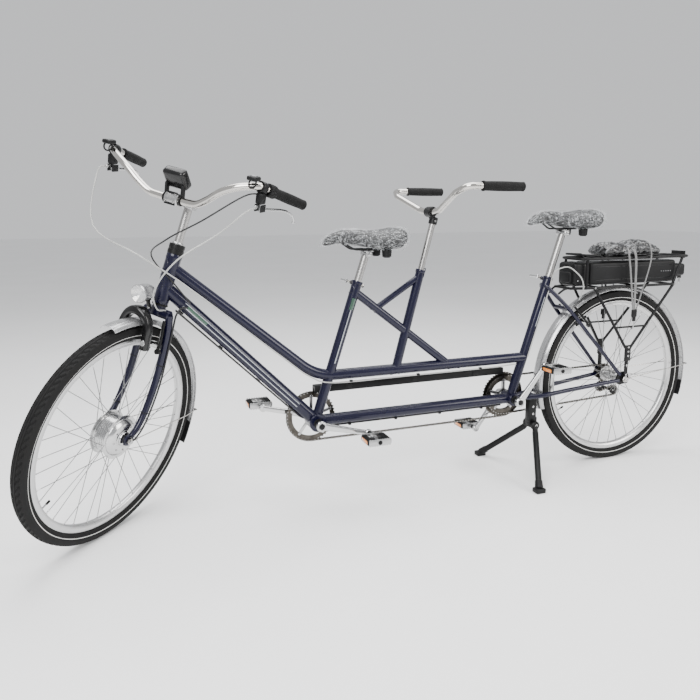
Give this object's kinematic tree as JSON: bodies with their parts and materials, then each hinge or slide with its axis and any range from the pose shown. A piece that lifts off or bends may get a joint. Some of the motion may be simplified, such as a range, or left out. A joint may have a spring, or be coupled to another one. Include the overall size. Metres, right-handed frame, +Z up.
{
  "type": "tandem bicycle",
  "caption": "Upright electric tandem bicycle with swept bars, hub motor in the front wheel, rear rack with sliding battery, mudguards, wheel lock and twin-leg stand.",
  "frame": {"origin": "on the floor, under the middle of the bounding box", "axes": "+X towards the rear wheel, -X is the riding direction, -Y is the rider's left, +Z up"},
  "size_m": [2.5937, 0.6033, 1.2445],
  "materials": {
    "blue_paint": "gloss",
    "chrome": "polished",
    "alloy": "satin",
    "rubber": "matte",
    "tyre_rubber": "matte with fine tread",
    "saddle_cover": "smooth vinyl",
    "black_plastic": "satin",
    "gloss_black": "gloss",
    "black_metal": "satin powder coat",
    "silver_plastic": "metallic lacquer",
    "mudguard_silver": "semi-gloss",
    "chain_steel": "oiled",
    "spoke_steel": "polished",
    "cable_grey": "satin",
    "parcel_film": "stretch film",
    "clear_film": "clear plastic film",
    "strap_grey": "woven elastic",
    "reflector_amber": "prismatic",
    "reflector_red": "prismatic",
    "reflective_white": "retroreflective",
    "lamp_glass": "clear"
  },
  "bodies": {
    "frame": {"main_frame": "blue_paint", "rear_mudguard": "mudguard_silver", "rear_rack": "black_metal", "battery_dock": "black_plastic", "parcel": "parcel_film", "timing_chain": "chain_steel", "drive_chain": "chain_steel", "chain_guard": "black_plastic", "stand_bracket": "black_metal", "rear_brake_cable": "cable_grey"},
    "fork": {"fork": "blue_paint", "front_axle": "chrome", "front_mudguard": "mudguard_silver", "stem": "alloy", "handlebar": "chrome", "left_grip": "rubber", "right_grip": "rubber", "left_lever_clamp": "black_plastic", "right_lever_clamp": "black_plastic", "display": "black_plastic", "head_lamp": "silver_plastic", "wheel_lock": "black_plastic"},
    "twist_shifter": {"twist_shifter": "black_plastic"},
    "left_brake_lever": {"left_brake_lever": "alloy"},
    "right_brake_lever": {"right_brake_lever": "alloy"},
    "front_brake_arm_left": {"front_brake_arm_left": "black_metal"},
    "front_brake_arm_right": {"front_brake_arm_right": "black_metal"},
    "rear_brake_arm_left": {"rear_brake_arm_left": "black_metal"},
    "rear_brake_arm_right": {"rear_brake_arm_right": "black_metal"},
    "front_wheel": {"front_tyre": "tyre_rubber", "front_rim": "alloy", "front_hub": "alloy"},
    "rear_wheel": {"rear_tyre": "tyre_rubber", "rear_rim": "alloy", "rear_hub": "alloy"},
    "front_crank": {"front_left_crank": "alloy", "front_right_crank": "alloy", "front_chainring": "alloy"},
    "rear_crank": {"rear_left_crank": "alloy", "rear_right_crank": "alloy", "rear_chainrings": "alloy"},
    "front_left_pedal": {"front_left_pedal": "black_plastic"},
    "front_right_pedal": {"front_right_pedal": "black_plastic"},
    "rear_left_pedal": {"rear_left_pedal": "black_plastic"},
    "rear_right_pedal": {"rear_right_pedal": "black_plastic"},
    "stand_legs": {"stand_legs": "black_metal"},
    "tensioner_arm": {"tensioner_arm": "black_metal"},
    "guide_pulley": {"guide_pulley": "black_plastic"},
    "tension_pulley": {"tension_pulley": "black_plastic"},
    "battery": {"battery": "black_plastic"},
    "front_seat": {"front_seat_post": "alloy", "front_saddle": "saddle_cover"},
    "rear_seat": {"rear_seat_post": "alloy", "rear_saddle": "saddle_cover"},
    "front_seat_lever": {"front_seat_lever": "alloy"},
    "rear_seat_lever": {"rear_seat_lever": "alloy"},
    "stoker_cockpit": {"stoker_post": "alloy", "stoker_handlebar": "chrome", "stoker_left_grip": "rubber", "stoker_right_grip": "rubber"}
  },
  "joints": [
    {"name": "steering", "type": "hinge", "parent": "frame", "child": "fork", "pos_m": [-1.0071, -0.0086, 0.355], "axis": [0.3206, 0, 0.9472], "range_deg": [-107, 13], "deforming": ["rear_brake_cable"]},
    {"name": "front_wheel_spin", "type": "hinge", "parent": "fork", "child": "front_wheel", "pos_m": [-1.03497, -0.03562, 0.35123], "axis": [-0.6927, 0.682, 0.2345], "continuous": true},
    {"name": "rear_wheel_spin", "type": "hinge", "parent": "frame", "child": "rear_wheel", "pos_m": [0.9199, -0.0086, 0.355], "axis": [0, 1, 0], "continuous": true},
    {"name": "front_crank_spin", "type": "hinge", "parent": "frame", "child": "front_crank", "pos_m": [-0.3711, -0.0086, 0.308], "axis": [0, 1, 0], "continuous": true},
    {"name": "rear_crank_spin", "type": "hinge", "parent": "frame", "child": "rear_crank", "pos_m": [0.4259, -0.0086, 0.308], "axis": [0, 1, 0], "continuous": true},
    {"name": "front_left_pedal_spin", "type": "hinge", "parent": "front_crank", "child": "front_left_pedal", "pos_m": [-0.20546, -0.1571, 0.26976], "axis": [0, 1, 0], "continuous": true},
    {"name": "front_right_pedal_spin", "type": "hinge", "parent": "front_crank", "child": "front_right_pedal", "pos_m": [-0.53674, 0.1439, 0.34624], "axis": [0, 1, 0], "continuous": true},
    {"name": "rear_left_pedal_spin", "type": "hinge", "parent": "rear_crank", "child": "rear_left_pedal", "pos_m": [0.52096, -0.1571, 0.44894], "axis": [0, 1, 0], "continuous": true},
    {"name": "rear_right_pedal_spin", "type": "hinge", "parent": "rear_crank", "child": "rear_right_pedal", "pos_m": [0.33084, 0.1439, 0.16706], "axis": [0, 1, 0], "continuous": true},
    {"name": "stand_fold", "type": "hinge", "parent": "frame", "child": "stand_legs", "pos_m": [0.5309, -0.0086, 0.19], "axis": [0, -1, 0], "range_deg": [0, 105]},
    {"name": "left_brake_squeeze", "type": "hinge", "parent": "fork", "child": "left_brake_lever", "pos_m": [-0.60047, -0.23766, 1.03604], "axis": [0.6927, -0.682, -0.2345], "range_deg": [0, 7], "stiffness_Nm_per_rad": 2},
    {"name": "right_brake_squeeze", "type": "hinge", "parent": "fork", "child": "right_brake_lever", "pos_m": [-0.98594, 0.14183, 1.16652], "axis": [0.6927, -0.682, -0.2345], "range_deg": [0, 7], "stiffness_Nm_per_rad": 2},
    {"name": "front_brake_left_close", "type": "hinge", "parent": "fork", "child": "front_brake_arm_left", "pos_m": [-0.89254, -0.05102, 0.60362], "axis": [-0.6647, -0.7299, 0.1593], "range_deg": [-1, 6]},
    {"name": "front_brake_right_close", "type": "hinge", "parent": "fork", "child": "front_brake_arm_right", "pos_m": [-0.96181, 0.01718, 0.62706], "axis": [-0.6647, -0.7299, 0.1593], "range_deg": [-6, 1]},
    {"name": "rear_brake_left_close", "type": "hinge", "parent": "frame", "child": "rear_brake_arm_left", "pos_m": [0.7449, -0.0606, 0.586], "axis": [-0.7413, 0, -0.6712], "range_deg": [-1, 6]},
    {"name": "rear_brake_right_close", "type": "hinge", "parent": "frame", "child": "rear_brake_arm_right", "pos_m": [0.7449, 0.0434, 0.586], "axis": [-0.7413, 0, -0.6712], "range_deg": [-6, 1]},
    {"name": "twist_shift", "type": "hinge", "parent": "fork", "child": "twist_shifter", "pos_m": [-0.55395, -0.22114, 1.08372], "axis": [0.7924, 0.5576, -0.2473], "range_deg": [-45, 45]},
    {"name": "tensioner_swing", "type": "hinge", "parent": "frame", "child": "tensioner_arm", "pos_m": [0.9299, 0.0459, 0.326], "axis": [0, 1, 0], "range_deg": [-5, 10], "stiffness_Nm_per_rad": 4, "deforming": ["drive_chain"]},
    {"name": "guide_pulley_spin", "type": "hinge", "parent": "tensioner_arm", "child": "guide_pulley", "pos_m": [0.9059, 0.0364, 0.297], "axis": [0, 1, 0], "continuous": true},
    {"name": "tension_pulley_spin", "type": "hinge", "parent": "tensioner_arm", "child": "tension_pulley", "pos_m": [0.9739, 0.0364, 0.274], "axis": [0, 1, 0], "continuous": true},
    {"name": "battery_slide", "type": "slide", "parent": "frame", "child": "battery", "axis": [1, 0, 0], "range_m": [0, 0.46]},
    {"name": "front_seat_height", "type": "slide", "parent": "frame", "child": "front_seat", "axis": [0.3121, 0, 0.95], "range_m": [-0.06, 0.09]},
    {"name": "rear_seat_height", "type": "slide", "parent": "frame", "child": "rear_seat", "axis": [0.3174, 0, 0.9483], "range_m": [-0.09, 0.07]},
    {"name": "stoker_bar_height", "type": "slide", "parent": "frame", "child": "stoker_cockpit", "axis": [0.2597, 0, 0.9657], "range_m": [-0.07, 0.07]},
    {"name": "front_seat_release", "type": "hinge", "parent": "frame", "child": "front_seat_lever", "pos_m": [-0.248, 0.0109, 0.79327], "axis": [0.3121, 0, 0.95], "range_deg": [0, 100]},
    {"name": "rear_seat_release", "type": "hinge", "parent": "frame", "child": "rear_seat_lever", "pos_m": [0.54701, 0.0109, 0.77847], "axis": [0.3174, 0, 0.9483], "range_deg": [0, 100]}
  ],
  "couplings": [
    {"joint": "rear_crank_spin", "follows": "front_crank_spin", "ratio": 1},
    {"joint": "guide_pulley_spin", "follows": "front_crank_spin", "ratio": -3.75},
    {"joint": "tension_pulley_spin", "follows": "front_crank_spin", "ratio": 3.75},
    {"joint": "front_brake_left_close", "follows": "left_brake_squeeze", "ratio": 0.7},
    {"joint": "front_brake_right_close", "follows": "left_brake_squeeze", "ratio": -0.7},
    {"joint": "rear_brake_left_close", "follows": "right_brake_squeeze", "ratio": 0.7},
    {"joint": "rear_brake_right_close", "follows": "right_brake_squeeze", "ratio": -0.7}
  ]
}
